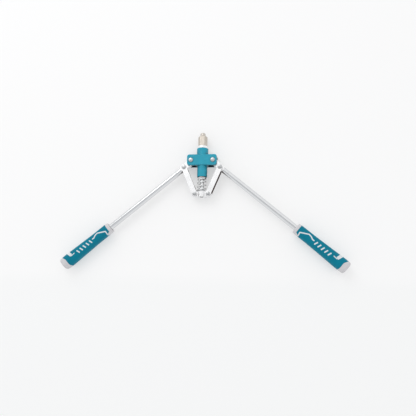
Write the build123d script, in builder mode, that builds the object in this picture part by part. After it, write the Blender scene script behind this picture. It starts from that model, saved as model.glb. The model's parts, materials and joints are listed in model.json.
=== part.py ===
from build123d import *
import math
import os

# Two-handed lever riveter, lying on its back: +Y is the pull axis towards the nose,
# +X is the right handle, +Z is the side with the pin heads.  Millimetres.

# ---------------------------------------------------------------- linkage
crank_length = 21.4     # wing pin to link pin
crank_angle = 43.1      # its slope below the crosswise line at rest, degrees
link_length = 64.6      # link pin to yoke pin
handle_angle = 39.5     # slope of the handle axis at rest, degrees
open_angle = 12.0       # lever turn from rest to handles fully open, degrees
close_angle = 42.0      # lever turn from rest to handles closed, degrees
pull_per_radian = 16.7  # pull rod travel for each radian of lever turn

# ---------------------------------------------------------------- fits
running = 0.05          # radial, shaft in a turning or sliding hole
fixed_fit = 0.01        # radial, shaft in its own body's hole
thread_fit = 0.04       # radial, threads drawn as plain cylinders
free_gap = 0.3          # radial, pieces that pass without touching
axial_gap = 0.1         # along an axis, pieces that turn or rest against each other
overcut = 1.0           # how far a cut starts outside the piece it opens

# ---------------------------------------------------------------- pull rod and jaws
rod_r = 4.5
rod_bore_r = 3.2
rod_head_step = 0.9     # threaded head beyond the rod
rod_head_length = 6.0
rod_recess = 1.8        # rod end below the yoke's rear face
case_wall = 1.3
case_length = 28.0
case_lip = 1.4          # slope at the case's front, across and along the axis
case_lip_length = 2.4
case_gap = 0.4          # case to the sleeve's bore
case_room = 0.8         # case to the head's bore
case_floor_gap = 1.0    # case to the bottom of that bore with the handles closed
jaw_cone_length = 11.0
jaw_length = 11.0
jaw_gap = 0.2           # jaw to cone
jaw_bore_r = 1.1
jaw_count = 3
jaw_split = 8.0         # degrees of gap between two jaws
pusher_length = 5.6
pusher_lip = 0.6        # pusher's bore inside the rod's
jaw_spring_wire_r = 0.45
jaw_spring_turns = 3.5

# ---------------------------------------------------------------- nose
mandrel_bore_r = 2.05
nosepiece_wall = 1.95   # round the bore, at the thread
nosepiece_step = 1.9    # shoulder beyond the thread
nosepiece_length = 6.8
nosepiece_tail = 0.8    # stem beyond the end wall, into the jaw case
tail_rim = 0.7          # wall at the stem's end
mouth_step = 0.4        # jaw case mouth inside the nosepiece's thread
tip_round = 2.6         # length of the rounded tip
tip_knee = 1.2          # where its slope changes, from the tip
tip_side = 0.6          # how far the tip has drawn in at the knee
tip_draw = 1.5          # and at its face
spigot_wall = 0.9
spigot_length = 12.0
hexagon_wall = 1.9      # sleeve bore to its flats
sleeve_length = 23.5
sleeve_wall_end = 6.0   # end wall that holds the nosepiece
sleeve_cone = 3.0
sleeve_face_rim = 0.9   # flat end face beyond the nosepiece
sleeve_foot = 0.7       # bevel of the sleeve's corners at the lock nut
lock_nut_height = 5.6
lock_nut_step = 2.0     # lock nut inside the barrel's edge
lock_nut_edge = 0.6

# ---------------------------------------------------------------- head casting
upper_barrel_wall = 4.6
upper_barrel_length = 15.4
lower_barrel_wall = 4.5
lower_barrel_length = 25.0
barrel_edge = 0.8
core_cover = 0.3        # solid middle of the block beyond the upper barrel
boss_side_gap = 3.7     # lever boss to the solid middle
boss_top_gap = 1.6      # lever boss to the slot's roof
slot_roof = 4.0         # metal left above the lever slot
wing_skirt = 3.6        # wing plates below the lever boss
wing_margin = 8.6       # wing plates beyond the wing pins
wing_plate = 5.8
wing_corner = 5.0
wing_edge = 1.3         # bevel round the plates
rod_passage_gap = 0.7
bush_wall = 2.1
bush_length = 16.0
bush_flange_step = 1.8
bush_flange = 1.4
seat_washer_height = 1.2
seat_washer_edge = 0.3

# ---------------------------------------------------------------- pins
pivot_pin_r = 3.0
link_pin_r = 3.0
yoke_pin_r = 2.5
head_rim = 1.8          # pin head beyond the pin's radius
head_height = 2.1
head_round = 0.9
pin_tip = 0.3           # bevel at the pin's end
pin_tail = 0.7          # pin beyond its clip
clip_thickness = 0.8
clip_overlap = 1.6      # clip rim beyond the pin's radius
clip_mouth = 1.5        # width of the clip's mouth, in pin radii
groove_depth = 0.5

# ---------------------------------------------------------------- yoke and return spring
slot_across = 0.75      # yoke ear: room for the pin across the pull axis
slot_along = 1.55       # yoke ear: room for the pin along the pull axis
slot_shift_x = -0.3     # where the middle of that room lies
slot_shift_y = 0.4
yoke_wall = 1.55        # yoke ear above and below that room
ear_wall = 3.5          # and outside it
ear_flat = 0.5          # how far the ear's ends stay from a full round
yoke_edge = 0.6
rod_nut_wall = 2.0      # rod to the nut's flats
rod_nut_height = 2.5
nut_gap = 0.5           # nut's corners to the return spring
spring_wire_r = 1.1
spring_turns = 4.6

# ---------------------------------------------------------------- levers
tube_r = 6.35
tube_wall = 1.5
arm_skin = 0.15         # flat arm beyond the tube, each side
arm_gap = 0.5           # arm to wing plate, each side
arm_edge = 0.6
arm_shoulder = 8.0      # link pin to the end of the flat arm
pivot_boss_wall = 4.4
collar_length = 2.0
socket_length = 28.0
rivet_r = 2.0
rivet_place = 12.0      # from the tube's end
rivet_stand = 0.25      # rivet end beyond the tube's skin

# ---------------------------------------------------------------- links
flange_gap = 0.7        # arm to link flange, each side
flange_thickness = 2.0
link_rim = 2.6          # metal round the link pin
web_thickness = 1.8
web_front_gap = 5.65    # lever arm's round end to the web
web_rear_gap = 6.0      # yoke to the web

# ---------------------------------------------------------------- grips
grip_start = 208.0      # link pin to the collar's front, along the handle
grip_length = 131.0
grip_core_wall = 2.25
front_cover = 2.7       # grip beyond its core at the front, waist, palm, heel and end
waist_cover = 3.3
palm_cover = 4.3
heel_cover = 5.4
end_cover = 4.6
grip_oval = 0.3         # how much deeper than wide, each side
collar_mark = 9.0       # colour change at the front, on the handle axis
collar_slant = 12.0     # degrees
butt_mark = 119.5       # colour change at the butt
butt_slant = 16.5
cap_length = 3.6
cap_stem = 14.0
cap_edge = 0.8
tube_to_cap = 2.0

# ---------------------------------------------------------------- worked out: radii
jaw_chamber_r = rod_r + rod_head_step
case_r = jaw_chamber_r + case_wall
sleeve_bore_r = case_r + case_gap
spigot_r = sleeve_bore_r + spigot_wall
sleeve_apothem = sleeve_bore_r + hexagon_wall
upper_barrel_r = spigot_r + upper_barrel_wall
lock_nut_r = upper_barrel_r - lock_nut_step
case_passage_r = case_r + case_room
bush_r = rod_r + bush_wall
lower_barrel_r = bush_r + lower_barrel_wall
rod_nut_apothem = rod_r + rod_nut_wall
spring_r = rod_nut_apothem / math.cos(math.radians(30)) + nut_gap + spring_wire_r
seat_washer_r = spring_r + spring_wire_r
thread_r = mandrel_bore_r + nosepiece_wall
nosepiece_r = thread_r + nosepiece_step
jaw_mouth_r = thread_r - mouth_step
pivot_boss_r = pivot_pin_r + pivot_boss_wall
link_r = link_pin_r + link_rim
grip_core_r = tube_r + grip_core_wall

# ---------------------------------------------------------------- worked out: across the pull axis
core_half = upper_barrel_r + core_cover
pivot_x = core_half + boss_side_gap + pivot_boss_r
wing_half_width = pivot_x + wing_margin
link_pin_x = pivot_x + crank_length * math.cos(math.radians(crank_angle))
yoke_pin_x = spring_r + link_r
ear_x = yoke_pin_x + yoke_pin_r + slot_across + ear_wall

# ---------------------------------------------------------------- worked out: through the thickness
arm_half = tube_r + arm_skin
slot_half = arm_half + arm_gap
plate_face = slot_half + wing_plate
flange_inner = arm_half + flange_gap
flange_face = flange_inner + flange_thickness

# ---------------------------------------------------------------- worked out: along the pull axis
open_travel = math.radians(open_angle) * pull_per_radian
close_travel = math.radians(close_angle) * pull_per_radian
slot_top = pivot_boss_r + boss_top_gap
wing_top = slot_top + slot_roof
wing_bottom = -pivot_boss_r - wing_skirt
upper_barrel_top = wing_top + upper_barrel_length
lower_barrel_end = wing_bottom - lower_barrel_length
nut_top = upper_barrel_top + lock_nut_height
sleeve_top = nut_top + sleeve_length
chamber_top = sleeve_top - sleeve_wall_end
nose_tip = sleeve_top + nosepiece_length
case_top = chamber_top - open_travel - free_gap
case_bottom = case_top - case_length
case_floor = case_bottom - close_travel - case_floor_gap
jaw_front = chamber_top - nosepiece_tail - open_travel - free_gap
jaw_back = jaw_front - jaw_length
pusher_back = jaw_back - pusher_length
rod_head_top = case_bottom + rod_head_length
washer_bottom = lower_barrel_end - bush_flange - seat_washer_height
link_pin_y = -crank_length * math.sin(math.radians(crank_angle))
yoke_pin_y = link_pin_y - math.sqrt(link_length**2 - (link_pin_x - yoke_pin_x) ** 2)
yoke_half_height = yoke_pin_r + slot_along + slot_shift_y + yoke_wall
yoke_top = yoke_pin_y + yoke_half_height
yoke_bottom = yoke_pin_y - yoke_half_height
rod_end = yoke_bottom + rod_recess

# ---------------------------------------------------------------- worked out: handle and link
arm_plane = Plane(
    origin=(link_pin_x, link_pin_y, 0),
    x_dir=(math.cos(math.radians(handle_angle)), -math.sin(math.radians(handle_angle)), 0),
    z_dir=(0, 0, 1),
)
link_plane = Plane(
    origin=(link_pin_x, link_pin_y, 0),
    x_dir=(yoke_pin_x - link_pin_x, yoke_pin_y - link_pin_y, 0),
    z_dir=(0, 0, 1),
)
pivot_local = arm_plane.to_local_coords(Vector(pivot_x, 0, 0))
tube_start = arm_shoulder + collar_length
cap_seat = grip_start + grip_length - cap_length
tube_end = cap_seat - tube_to_cap
web_start = tube_r + web_front_gap
web_stop = link_length - 2 * yoke_half_height - web_rear_gap

pieces = {}


def keep(name, solid):
    """Stores a finished piece under its node name."""
    pieces[name] = solid


def keep_pair(name, solid):
    """Stores a right-hand piece and its mirror image on the left."""
    keep("right_" + name, solid)
    keep("left_" + name, mirror(solid, about=Plane.YZ))


def across_pull(y):
    """Plane across the pull axis at y, facing the nose."""
    return Plane(origin=(0, y, 0), x_dir=(1, 0, 0), z_dir=(0, 1, 0))


def across_handle(distance):
    """Plane across the right handle, that far from its link pin, facing the butt."""
    return Plane(
        origin=arm_plane.from_local_coords(Vector(distance, 0, 0)),
        x_dir=arm_plane.y_dir,
        z_dir=arm_plane.x_dir,
    )


def half_section(*outline, plane=Plane.XY):
    """Face inside an outline of (radius, y) points, to revolve about the pull axis."""
    with BuildSketch(plane) as section:
        with BuildLine():
            Polyline(*outline, close=True)
        make_face()
    return section.sketch


def outer_rims(ring):
    """The two outer edges of a flat ring."""
    return ring.edges().filter_by(GeomType.CIRCLE).sort_by(SortBy.RADIUS)[-2:]


def coil(start, stop, mean_r, wire_r, turns):
    """Round-wire coil about the pull axis, from y = start down to y = stop."""
    height = start - stop - 2 * wire_r
    with BuildPart() as spring:
        with BuildLine() as path:
            Helix(height / turns, height, mean_r, center=(0, stop + wire_r, 0), direction=(0, 1, 0))
        with BuildSketch(Plane(origin=path.line @ 0, z_dir=path.line % 0)):
            Circle(wire_r)
        sweep(is_frenet=True)
    return spring.part


def headed_pin(x, y, shank_r, seat):
    """Headed pin along Z, its head on z = seat, with a groove for the clip under z = -seat."""
    with BuildPart() as pin:
        with BuildSketch(Plane((x, y, seat))):
            Circle(shank_r + head_rim)
        extrude(amount=head_height)
        fillet(pin.edges().group_by(Axis.Z)[-1], head_round)
        with BuildSketch(Plane((x, y, seat))):
            Circle(shank_r)
        extrude(amount=-2 * seat - clip_thickness - pin_tail)
        chamfer(pin.edges().group_by(Axis.Z)[0], pin_tip)
        with BuildSketch(Plane((x, y, -seat - clip_thickness))):
            Circle(shank_r + overcut)
            Circle(shank_r - groove_depth, mode=Mode.SUBTRACT)
        extrude(amount=clip_thickness, mode=Mode.SUBTRACT)
    return pin.part


def retaining_clip(x, y, shank_r, tail_face):
    """Open ring that snaps into a pin's groove, its mouth towards -Y."""
    mouth = shank_r * clip_mouth
    with BuildPart() as clip:
        with BuildSketch(Plane((x, y, tail_face - clip_thickness))):
            Circle(shank_r + clip_overlap)
            Circle(shank_r - groove_depth + fixed_fit, mode=Mode.SUBTRACT)
            with Locations((0, -shank_r)):
                Rectangle(mouth, 2 * (shank_r + clip_overlap) - shank_r, mode=Mode.SUBTRACT)
        extrude(amount=clip_thickness - fixed_fit)
    return clip.part


def head_casting():
    """Block with two wing plates each side, and the barrel through its middle."""
    slot_width = wing_margin + pivot_x - core_half + overcut
    slot_height = slot_top - wing_bottom + overcut
    slot_middle = (core_half + slot_width / 2, slot_top - slot_height / 2)
    with BuildPart() as head:
        with BuildSketch(Plane.XY.offset(-plate_face)):
            with Locations((0, (wing_top + wing_bottom) / 2)):
                RectangleRounded(2 * wing_half_width, wing_top - wing_bottom, wing_corner)
        extrude(amount=2 * plate_face)
        outer = head.edges().group_by(Axis.Z)
        chamfer(outer[0] + outer[-1], wing_edge)
        with BuildSketch(Plane.XY.offset(-slot_half)):
            with Locations(slot_middle, (-slot_middle[0], slot_middle[1])):
                Rectangle(slot_width, slot_height)
        extrude(amount=2 * slot_half, mode=Mode.SUBTRACT)
        with BuildSketch(across_pull(0)):
            Circle(upper_barrel_r)
        extrude(amount=upper_barrel_top)
        chamfer(head.edges().group_by(Axis.Y)[-1], barrel_edge)
        with BuildSketch(across_pull(lower_barrel_end)):
            Circle(lower_barrel_r)
        extrude(amount=-lower_barrel_end)
        chamfer(head.edges().group_by(Axis.Y)[0], barrel_edge)
        with BuildSketch(across_pull(lower_barrel_end)):
            Circle(rod_r + rod_passage_gap)
        extrude(amount=upper_barrel_top - lower_barrel_end, mode=Mode.SUBTRACT)
        with BuildSketch(across_pull(lower_barrel_end)):
            Circle(bush_r + fixed_fit)
        extrude(amount=bush_length, mode=Mode.SUBTRACT)
        with BuildSketch(across_pull(case_floor)):
            Circle(case_passage_r)
        extrude(amount=upper_barrel_top - case_floor, mode=Mode.SUBTRACT)
        with BuildSketch(across_pull(nut_top - spigot_length)):
            Circle(spigot_r + thread_fit)
        extrude(amount=spigot_length, mode=Mode.SUBTRACT)
        with BuildSketch(Plane.XY.offset(-plate_face)):
            with Locations((pivot_x, 0), (-pivot_x, 0)):
                Circle(pivot_pin_r + fixed_fit)
        extrude(amount=2 * plate_face, mode=Mode.SUBTRACT)
    keep("head_casting", head.part)


def nose():
    """Lock nut, hexagonal sleeve and the screwed-in nosepiece."""
    with BuildPart() as lock_nut:
        with BuildSketch(across_pull(upper_barrel_top)):
            Circle(lock_nut_r)
            Circle(spigot_r + thread_fit, mode=Mode.SUBTRACT)
        extrude(amount=lock_nut_height)
        chamfer(outer_rims(lock_nut), lock_nut_edge)
    keep("lock_nut", lock_nut.part)

    corner_r = sleeve_apothem / math.cos(math.radians(30))
    with BuildPart() as sleeve:
        with BuildSketch(across_pull(nut_top)):
            RegularPolygon(sleeve_apothem, 6, major_radius=False, rotation=0)
        extrude(amount=sleeve_length)
        envelope = half_section(
            (0, nut_top),
            (corner_r - sleeve_foot, nut_top),
            (corner_r, nut_top + sleeve_foot),
            (corner_r, sleeve_top - sleeve_cone),
            (nosepiece_r + sleeve_face_rim, sleeve_top),
            (0, sleeve_top),
        )
        revolve(envelope, axis=Axis.Y, mode=Mode.INTERSECT)
        with BuildSketch(across_pull(nut_top - spigot_length)):
            Circle(spigot_r)
        extrude(amount=spigot_length)
        with BuildSketch(across_pull(nut_top - spigot_length)):
            Circle(sleeve_bore_r)
        extrude(amount=chamber_top - nut_top + spigot_length, mode=Mode.SUBTRACT)
        with BuildSketch(across_pull(chamber_top)):
            Circle(thread_r + thread_fit)
        extrude(amount=sleeve_wall_end, mode=Mode.SUBTRACT)
    keep("nose_sleeve", sleeve.part)

    tail = chamber_top - nosepiece_tail
    with BuildPart() as nosepiece:
        profile = half_section(
            (mandrel_bore_r, tail),
            (mandrel_bore_r + tail_rim, tail),
            (thread_r, chamber_top),
            (thread_r, sleeve_top),
            (nosepiece_r, sleeve_top),
            (nosepiece_r, nose_tip - tip_round),
            (nosepiece_r - tip_side, nose_tip - tip_knee),
            (nosepiece_r - tip_draw, nose_tip),
            (mandrel_bore_r, nose_tip),
        )
        revolve(profile, axis=Axis.Y)
    keep("nosepiece", nosepiece.part)


def barrel_fittings():
    """Guide bush and the washer that the return spring pushes on."""
    with BuildPart() as bush:
        with BuildSketch(across_pull(lower_barrel_end - bush_flange)):
            Circle(bush_r + bush_flange_step)
        extrude(amount=bush_flange)
        with BuildSketch(across_pull(lower_barrel_end)):
            Circle(bush_r)
        extrude(amount=bush_length)
        with BuildSketch(across_pull(lower_barrel_end - bush_flange)):
            Circle(rod_r + running)
        extrude(amount=bush_length + bush_flange, mode=Mode.SUBTRACT)
    keep("guide_bush", bush.part)

    with BuildPart() as washer:
        with BuildSketch(across_pull(washer_bottom)):
            Circle(seat_washer_r)
            Circle(rod_r + free_gap, mode=Mode.SUBTRACT)
        extrude(amount=seat_washer_height)
        chamfer(outer_rims(washer), seat_washer_edge)
    keep("spring_washer", washer.part)


def pull_rod():
    """Hollow rod whose head screws into the jaw case."""
    with BuildPart() as rod:
        profile = half_section(
            (rod_bore_r, rod_end),
            (rod_r, rod_end),
            (rod_r, case_bottom),
            (jaw_chamber_r - thread_fit, case_bottom),
            (jaw_chamber_r - thread_fit, rod_head_top),
            (rod_bore_r, rod_head_top),
        )
        revolve(profile, axis=Axis.Y)
    keep("pull_rod", rod.part)

    with BuildPart() as case:
        profile = half_section(
            (jaw_mouth_r, case_top),
            (case_r - case_lip, case_top),
            (case_r, case_top - case_lip_length),
            (case_r, case_bottom),
            (jaw_chamber_r, case_bottom),
            (jaw_chamber_r, case_top - jaw_cone_length),
        )
        revolve(profile, axis=Axis.Y)
    keep("jaw_case", case.part)


def jaws():
    """Three wedge jaws, the pusher behind them and its spring."""
    cone_slope = (jaw_chamber_r - jaw_mouth_r) / jaw_cone_length

    def cone_r(y):
        return min(jaw_mouth_r + (case_top - y) * cone_slope, jaw_chamber_r) - jaw_gap

    for index in range(jaw_count):
        turn = math.radians(360 / jaw_count * index + jaw_split / 2)
        out = (math.cos(turn), 0, -math.sin(turn))
        side = (math.sin(turn), 0, math.cos(turn))
        with BuildPart() as jaw:
            profile = half_section(
                (jaw_bore_r, jaw_front),
                (cone_r(jaw_front), jaw_front),
                (cone_r(jaw_back), jaw_back),
                (jaw_bore_r, jaw_back),
                plane=Plane(origin=(0, 0, 0), x_dir=out, z_dir=side),
            )
            revolve(profile, axis=Axis.Y, revolution_arc=360 / jaw_count - jaw_split)
        keep(f"jaw_{index + 1}", jaw.part)

    pusher_r = jaw_chamber_r - free_gap
    pusher_bore_r = rod_bore_r - pusher_lip
    with BuildPart() as pusher:
        profile = half_section(
            (pusher_bore_r, jaw_back),
            (pusher_r, jaw_back),
            (pusher_r, pusher_back),
            (pusher_bore_r, pusher_back),
        )
        revolve(profile, axis=Axis.Y)
    keep("jaw_pusher", pusher.part)
    start = pusher_back - axial_gap
    stop = rod_head_top + axial_gap
    mean_r = pusher_r - 2 * jaw_spring_wire_r
    keep("jaw_spring", coil(start, stop, mean_r, jaw_spring_wire_r, jaw_spring_turns))


def yoke():
    """Cross bar on the rod's rear end, with a slotted ear for each link, and its lock nut."""
    height = 2 * yoke_half_height
    slot_place = (yoke_pin_x + slot_shift_x, yoke_pin_y + slot_shift_y)
    room_x = yoke_pin_r + slot_across
    room_y = yoke_pin_r + slot_along
    with BuildPart() as bar:
        with BuildSketch(Plane.XY.offset(-arm_half)):
            with Locations((0, yoke_pin_y)):
                RectangleRounded(2 * ear_x, height, yoke_half_height - ear_flat)
        extrude(amount=2 * arm_half)
        ends = bar.edges().group_by(Axis.Z)
        chamfer(ends[0] + ends[-1], yoke_edge)
        with BuildSketch(across_pull(yoke_bottom)):
            Circle(spring_r)
        extrude(amount=height)
        with BuildSketch(across_pull(yoke_bottom)):
            Circle(rod_r + fixed_fit)
        extrude(amount=height, mode=Mode.SUBTRACT)
        with BuildSketch(Plane.XY.offset(-arm_half)):
            with Locations(slot_place, (-slot_place[0], slot_place[1])):
                RectangleRounded(2 * room_x, 2 * room_y, yoke_pin_r)
        extrude(amount=2 * arm_half, mode=Mode.SUBTRACT)
    keep("yoke", bar.part)

    with BuildPart() as nut:
        with BuildSketch(across_pull(yoke_top)):
            RegularPolygon(rod_nut_apothem, 6, major_radius=False)
            Circle(rod_r + fixed_fit, mode=Mode.SUBTRACT)
        extrude(amount=rod_nut_height)
    keep("rod_lock_nut", nut.part)
    start = washer_bottom - axial_gap
    stop = yoke_top + axial_gap
    keep("return_spring", coil(start, stop, spring_r, spring_wire_r, spring_turns))


def link():
    """Channel link: two flanges, and a web on the side that faces the pull axis."""
    with BuildPart() as channel:
        with BuildSketch(link_plane.offset(-flange_face)):
            with Locations((link_length / 2, 0)):
                SlotCenterToCenter(link_length, 2 * link_r)
        extrude(amount=2 * flange_face)
        with BuildSketch(link_plane.offset(-flange_inner)):
            with Locations((link_length / 2, 0)):
                Rectangle(link_length + 4 * link_r, 4 * link_r)
            with Locations(((web_start + web_stop) / 2, web_thickness - 2 * link_r)):
                Rectangle(web_stop - web_start, 2 * link_r, mode=Mode.SUBTRACT)
        extrude(amount=2 * flange_inner, mode=Mode.SUBTRACT)
        with BuildSketch(link_plane.offset(-flange_face)):
            Circle(link_pin_r + running)
        extrude(amount=2 * flange_face, mode=Mode.SUBTRACT)
        with BuildSketch(link_plane.offset(-flange_face)):
            with Locations((link_length, 0)):
                Circle(yoke_pin_r + fixed_fit)
        extrude(amount=2 * flange_face, mode=Mode.SUBTRACT)
    keep_pair("link", channel.part)


def lever():
    """Forged arm, the tube on its spigot and the rivet through both."""
    with BuildPart() as arm:
        with BuildSketch(arm_plane.offset(-arm_half)):
            with Locations((pivot_local.X, pivot_local.Y)):
                Circle(pivot_boss_r)
            Circle(tube_r)
            make_hull()
            with Locations((arm_shoulder / 2, 0)):
                Rectangle(arm_shoulder, 2 * tube_r)
        extrude(amount=2 * arm_half)
        faces = arm.edges().group_by(Axis.Z)
        chamfer(faces[0] + faces[-1], arm_edge)
        with BuildSketch(across_handle(0)):
            Circle(tube_r)
        extrude(amount=tube_start)
        with BuildSketch(across_handle(tube_start)):
            Circle(tube_r - tube_wall - fixed_fit)
        extrude(amount=socket_length)
        with BuildSketch(arm_plane.offset(-arm_half)):
            with Locations((pivot_local.X, pivot_local.Y)):
                Circle(pivot_pin_r + running)
            Circle(link_pin_r + fixed_fit)
            with Locations((tube_start + rivet_place, 0)):
                Circle(rivet_r + fixed_fit)
        extrude(amount=2 * arm_half, mode=Mode.SUBTRACT)
    keep_pair("lever_arm", arm.part)

    with BuildPart() as tube:
        with BuildSketch(across_handle(tube_start)):
            Circle(tube_r)
            Circle(tube_r - tube_wall, mode=Mode.SUBTRACT)
        extrude(amount=tube_end - tube_start)
        with BuildSketch(arm_plane.offset(-tube_r)):
            with Locations((tube_start + rivet_place, 0)):
                Circle(rivet_r + fixed_fit)
        extrude(amount=2 * tube_r, mode=Mode.SUBTRACT)
    keep_pair("handle_tube", tube.part)

    rivet_half = tube_r + rivet_stand
    with BuildPart() as rivet:
        with BuildSketch(arm_plane.offset(-rivet_half)):
            with Locations((tube_start + rivet_place, 0)):
                Circle(rivet_r)
        extrude(amount=2 * rivet_half)
    keep_pair("tube_rivet", rivet.part)


def grip_blank():
    """Outer shape of a grip: a smooth loft of ovals along the handle."""
    stations = (
        (0.0, front_cover),
        (0.06, waist_cover),
        (0.3, waist_cover),
        (0.62, palm_cover),
        (0.9, heel_cover),
        (1.0, end_cover),
    )
    with BuildPart() as blank:
        for share, cover in stations:
            with BuildSketch(across_handle(grip_start + share * grip_length)):
                Ellipse(grip_core_r + cover, grip_core_r + cover + grip_oval)
        loft()
    return blank.part


def slanted(distance, slant):
    """Plane across the handle, tipped so that its upper side is nearer the head or butt."""
    square = across_handle(distance)
    return square.rotated((0, slant, 0))


def grip():
    """Grey core with collar and butt, the coloured sleeve between them, and the end cap."""
    blank = grip_blank()
    front = slanted(grip_start + collar_mark, -collar_slant)
    rear = slanted(grip_start + butt_mark, butt_slant)
    with BuildPart() as sleeve:
        add(blank)
        split(bisect_by=front, keep=Keep.TOP)
        split(bisect_by=rear, keep=Keep.BOTTOM)
        with BuildSketch(across_handle(grip_start)):
            Circle(grip_core_r)
        extrude(amount=grip_length, mode=Mode.SUBTRACT)
    keep_pair("grip_sleeve", sleeve.part)

    with BuildPart() as collar:
        add(blank)
        split(bisect_by=front, keep=Keep.BOTTOM)
    with BuildPart() as butt:
        add(blank)
        split(bisect_by=rear, keep=Keep.TOP)
        split(bisect_by=across_handle(cap_seat), keep=Keep.BOTTOM)
    with BuildPart() as core:
        add(collar.part)
        add(butt.part)
        with BuildSketch(across_handle(grip_start)):
            Circle(grip_core_r)
        extrude(amount=grip_length - cap_length)
        with BuildSketch(across_handle(grip_start)):
            Circle(tube_r + fixed_fit)
        extrude(amount=grip_length, mode=Mode.SUBTRACT)
    keep_pair("grip_core", core.part)

    with BuildPart() as cap:
        add(blank)
        split(bisect_by=across_handle(cap_seat), keep=Keep.TOP)
        chamfer(cap.edges().sort_by(Axis(arm_plane.origin, arm_plane.x_dir))[-1], cap_edge)
        with BuildSketch(across_handle(cap_seat - tube_to_cap)):
            Circle(tube_r - fixed_fit)
        extrude(amount=tube_to_cap)
        with BuildSketch(across_handle(cap_seat - cap_stem)):
            Circle(tube_r - tube_wall - fixed_fit)
        extrude(amount=cap_stem)
    keep_pair("end_cap", cap.part)


def pins():
    """The three pins of each side, with their clips."""
    stations = (
        ("pivot", pivot_x, 0.0, pivot_pin_r, plate_face),
        ("link", link_pin_x, link_pin_y, link_pin_r, flange_face + axial_gap),
        ("yoke", yoke_pin_x, yoke_pin_y, yoke_pin_r, flange_face),
    )
    for name, x, y, shank_r, seat in stations:
        keep_pair(name + "_pin", headed_pin(x, y, shank_r, seat))
        keep_pair(name + "_clip", retaining_clip(x, y, shank_r, -seat))


head_casting()
nose()
barrel_fittings()
pull_rod()
jaws()
yoke()
link()
lever()
grip()
pins()

boxes = [solid.bounding_box() for solid in pieces.values()]
rear = min(box.min.Y for box in boxes)
front = max(box.max.Y for box in boxes)
floor = min(box.min.Z for box in boxes)
to_frame = Location((0, -(front + rear) / 2, -floor))
os.makedirs("parts", exist_ok=True)
for name, solid in pieces.items():
    placed = solid.moved(to_frame)
    placed.label = name
    export_step(placed, f"parts/{name}.step")
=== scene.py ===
import json
import math

import bmesh
import bpy
import numpy as np
from mathutils import Matrix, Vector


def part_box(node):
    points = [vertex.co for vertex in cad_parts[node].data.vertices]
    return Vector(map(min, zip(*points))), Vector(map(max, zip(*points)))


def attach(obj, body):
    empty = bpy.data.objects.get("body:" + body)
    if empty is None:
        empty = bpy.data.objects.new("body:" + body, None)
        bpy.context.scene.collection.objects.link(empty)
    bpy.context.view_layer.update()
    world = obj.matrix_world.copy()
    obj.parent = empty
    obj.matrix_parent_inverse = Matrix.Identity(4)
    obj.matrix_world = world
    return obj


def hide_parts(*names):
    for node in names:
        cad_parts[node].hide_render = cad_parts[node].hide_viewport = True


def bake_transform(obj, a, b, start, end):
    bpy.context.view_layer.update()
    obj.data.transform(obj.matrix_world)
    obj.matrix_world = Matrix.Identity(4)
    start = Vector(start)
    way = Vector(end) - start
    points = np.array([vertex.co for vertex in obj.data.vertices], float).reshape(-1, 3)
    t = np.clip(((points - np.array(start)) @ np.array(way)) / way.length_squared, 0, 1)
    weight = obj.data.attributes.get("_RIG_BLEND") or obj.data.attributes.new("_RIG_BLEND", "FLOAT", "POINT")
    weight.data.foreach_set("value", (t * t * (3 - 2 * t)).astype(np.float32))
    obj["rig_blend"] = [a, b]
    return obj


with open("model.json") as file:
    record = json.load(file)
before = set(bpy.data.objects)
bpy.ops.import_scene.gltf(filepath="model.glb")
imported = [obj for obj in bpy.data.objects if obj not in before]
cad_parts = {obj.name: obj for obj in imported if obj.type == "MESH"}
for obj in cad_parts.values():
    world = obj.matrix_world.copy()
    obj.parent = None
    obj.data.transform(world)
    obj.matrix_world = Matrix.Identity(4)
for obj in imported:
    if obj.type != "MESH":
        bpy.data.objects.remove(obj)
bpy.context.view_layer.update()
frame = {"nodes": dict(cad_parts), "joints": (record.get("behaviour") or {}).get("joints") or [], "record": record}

nodes = frame["nodes"]
joints = {joint["name"]: joint for joint in frame["joints"]}
mm = 0.001
roundColumns = 96            # points round a turned piece
sharpTurn = 38               # degrees between two faces past which their edge stays crisp


def placesOf(thing):                         # an object's points, one row of x, y and z each, in metres
    places = np.empty(len(thing.data.vertices) * 3)
    thing.data.vertices.foreach_get("co", places)
    return places.reshape(-1, 3)


# places: the wing pins' line, the right link pin and the handle's axis, all in the frame's metres
hinge = np.array(joints["right_lever_pivot"]["pos_m"])
elbow = np.array(joints["right_link_pivot"]["pos_m"])
middle = np.array([0.0, hinge[1], hinge[2]])
tubePoints = placesOf(nodes["right_handle_tube"])
along = np.linalg.svd(tubePoints - tubePoints.mean(0), full_matrices=False)[2][0]
along = along * np.sign(along[0])            # down the handle, towards the butt
upright = np.array([0.0, 0.0, 1.0])
outward = np.cross(upright, along)           # across the handle, to its outer side
pullAxis = np.array([0.0, 1.0, 0.0])
sideways = np.array([1.0, 0.0, 0.0])


def spanOf(node, origin, direction):         # lowest and highest place of a node along a line, in mm
    places = (placesOf(nodes[node]) - origin) @ direction / mm
    return places.min(), places.max()


# shapes
def softCorners(corners, closed):
    # outline of (radius, height, rounding): each corner gives way to a quadratic curve, with a support
    # point before and after it, so that straight runs shade straight
    room = 0.42                              # most of a side that one corner may take
    support = 1.15                           # place of the support points, in shares of the rounding
    points = []
    count = len(corners)
    for i, (r, h, rounding) in enumerate(corners):
        here = np.array([r, h], float)
        if rounding == 0 or (not closed and i in (0, count - 1)):
            points.append(here)
            continue
        before = np.array(corners[i - 1][:2], float) - here
        after = np.array(corners[(i + 1) % count][:2], float) - here
        cut = min(rounding, room * np.linalg.norm(before), room * np.linalg.norm(after))
        a = before / np.linalg.norm(before) * cut
        b = after / np.linalg.norm(after) * cut
        points.append(here + a * support)
        for t in np.linspace(0, 1, 6):
            points.append(here + a * (1 - t) ** 2 + b * t ** 2)
        points.append(here + b * support)
    return np.array(points)


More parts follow.
